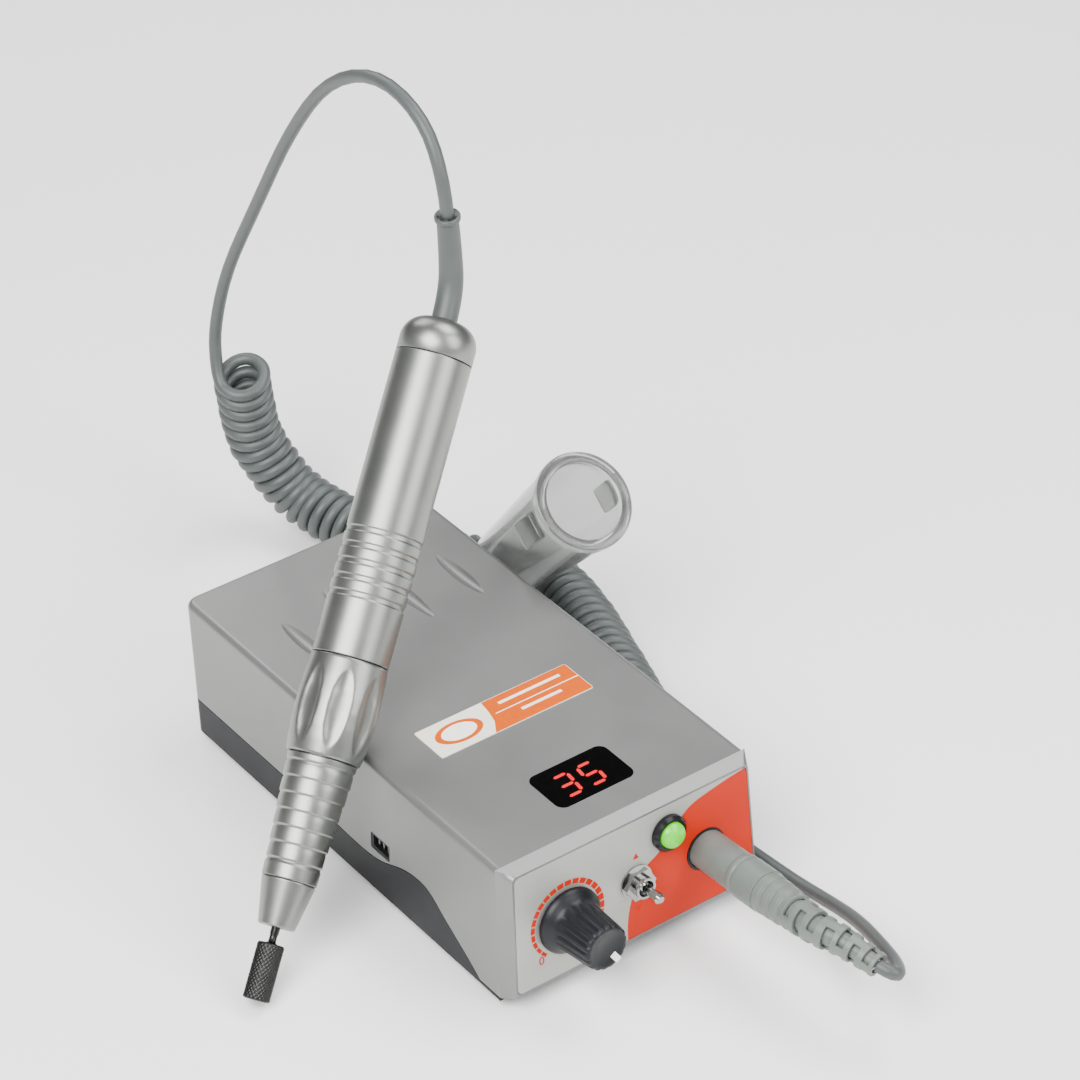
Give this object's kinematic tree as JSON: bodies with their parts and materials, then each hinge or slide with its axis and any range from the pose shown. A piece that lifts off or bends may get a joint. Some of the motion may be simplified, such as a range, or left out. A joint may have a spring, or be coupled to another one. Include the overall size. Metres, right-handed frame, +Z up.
{
  "type": "electric nail drill",
  "caption": "Desktop electric nail drill: silver control box with dial, lever and jack, a slim handpiece with a bit, curly cord and a clear handpiece cup.",
  "frame": {"origin": "on the surface that the feet stand on, under the middle of the control box", "axes": "+X to the right as the front panel is faced, +Y from the front panel to the back, +Z up"},
  "size_m": [0.1746, 0.2982, 0.1874],
  "materials": {
    "silver_shell": "satin silver lacquer",
    "dark_base": "fine moulded grain",
    "black_rubber": "matt",
    "steel": "plain",
    "panel_plate": "brushed",
    "panel_print": "printed film in silver and orange",
    "control_body": "plain",
    "bright_nut": "polished",
    "knob_plastic": "satin dark blue-grey",
    "white_mark": "plain",
    "lamp_black": "gloss",
    "lamp_green": "clear green",
    "window_smoke": "smoked gloss",
    "label_print": "printed film, orange with a pale left end",
    "brass": "plain",
    "circuit_green": "solder resist",
    "component_black": "plain",
    "battery_blue": "shrink sleeve",
    "tray_grey": "plain",
    "clear_acrylic": "clear, polished",
    "handpiece_grey": "bead-blasted anodised",
    "bit_carbide": "cross-cut carbide",
    "plug_grey": "soft vinyl",
    "cord_grey": "soft vinyl"
  },
  "bodies": {
    "box": {"top_shell": "silver_shell", "base_tray": "dark_base", "feet": "black_rubber", "case_screws": "steel", "front_panel": "panel_plate", "front_overlay": "panel_print", "speed_pot": "control_body", "pot_nut": "bright_nut", "toggle_switch": "control_body", "toggle_nut": "bright_nut", "lamp_bezel": "lamp_black", "lamp_cover": "lamp_green", "motor_jack": "control_body", "display_window": "window_smoke", "display_module": "control_body", "top_label": "label_print", "charge_socket": "control_body", "socket_blades": "brass", "main_board": "circuit_green", "board_parts": "component_black", "board_screws": "steel", "battery_tray": "tray_grey", "battery_cells": "battery_blue", "handpiece_cup": "clear_acrylic", "cup_bracket": "clear_acrylic", "bracket_screws": "steel", "cord_coil": "cord_grey"},
    "speed_knob": {"pot_shaft": "steel", "speed_knob": "knob_plastic", "knob_pointer": "white_mark"},
    "direction_lever": {"toggle_lever": "bright_nut"},
    "plug": {"plug_body": "plug_grey", "plug_pins": "brass", "plug_strain_relief": "plug_grey", "cord_tail": "cord_grey"},
    "handpiece": {"nose_cap": "handpiece_grey", "nose_cone": "handpiece_grey", "motor_housing": "handpiece_grey", "rear_cap": "handpiece_grey", "cord_boot": "black_rubber", "cord_loop": "cord_grey", "spindle_bearings": "steel", "motor_can": "steel", "motor_magnets": "component_black", "motor_bearings": "steel", "brush_plate": "tray_grey", "motor_brushes": "component_black"},
    "chuck_ring": {"chuck_ring": "handpiece_grey"},
    "lock_sleeve": {"lock_sleeve": "steel"},
    "spindle": {"spindle": "steel", "collet": "steel", "disc_springs": "steel", "drive_coupling": "steel", "bit": "bit_carbide", "rotor": "steel", "motor_shaft": "steel", "commutator": "brass"}
  },
  "joints": [
    {"name": "speed_dial", "type": "hinge", "parent": "box", "child": "speed_knob", "pos_m": [-0.022, -0.07626, 0.02266], "axis": [0, -0.9969, 0.0785], "range_deg": [0, 280]},
    {"name": "direction_switch", "type": "hinge", "parent": "box", "child": "direction_lever", "pos_m": [0.0002, -0.07836, 0.02343], "axis": [1, 0, 0], "range_deg": [-12, 12]},
    {"name": "plug_pull", "type": "slide", "parent": "box", "child": "plug", "axis": [0, -0.9969, 0.0785], "range_m": [0, 0.009]},
    {"name": "handpiece_lift", "type": "slide", "parent": "box", "child": "handpiece", "axis": [0, 0, 1], "range_m": [0, 0.05]},
    {"name": "chuck_twist", "type": "hinge", "parent": "handpiece", "child": "chuck_ring", "pos_m": [-0.0904, -0.0352, 0.0028], "axis": [0.6154, 0.3771, 0.6921], "range_deg": [0, 60]},
    {"name": "sleeve_travel", "type": "slide", "parent": "handpiece", "child": "lock_sleeve", "axis": [0.6154, 0.3771, 0.6921], "range_m": [0, 0.00147]},
    {"name": "spindle_spin", "type": "hinge", "parent": "handpiece", "child": "spindle", "pos_m": [-0.0904, -0.0352, 0.0028], "axis": [0.6154, 0.3771, 0.6921], "continuous": true}
  ],
  "couplings": [
    {"joint": "chuck_twist", "follows": "sleeve_travel", "rad_per_m": 714.29}
  ]
}
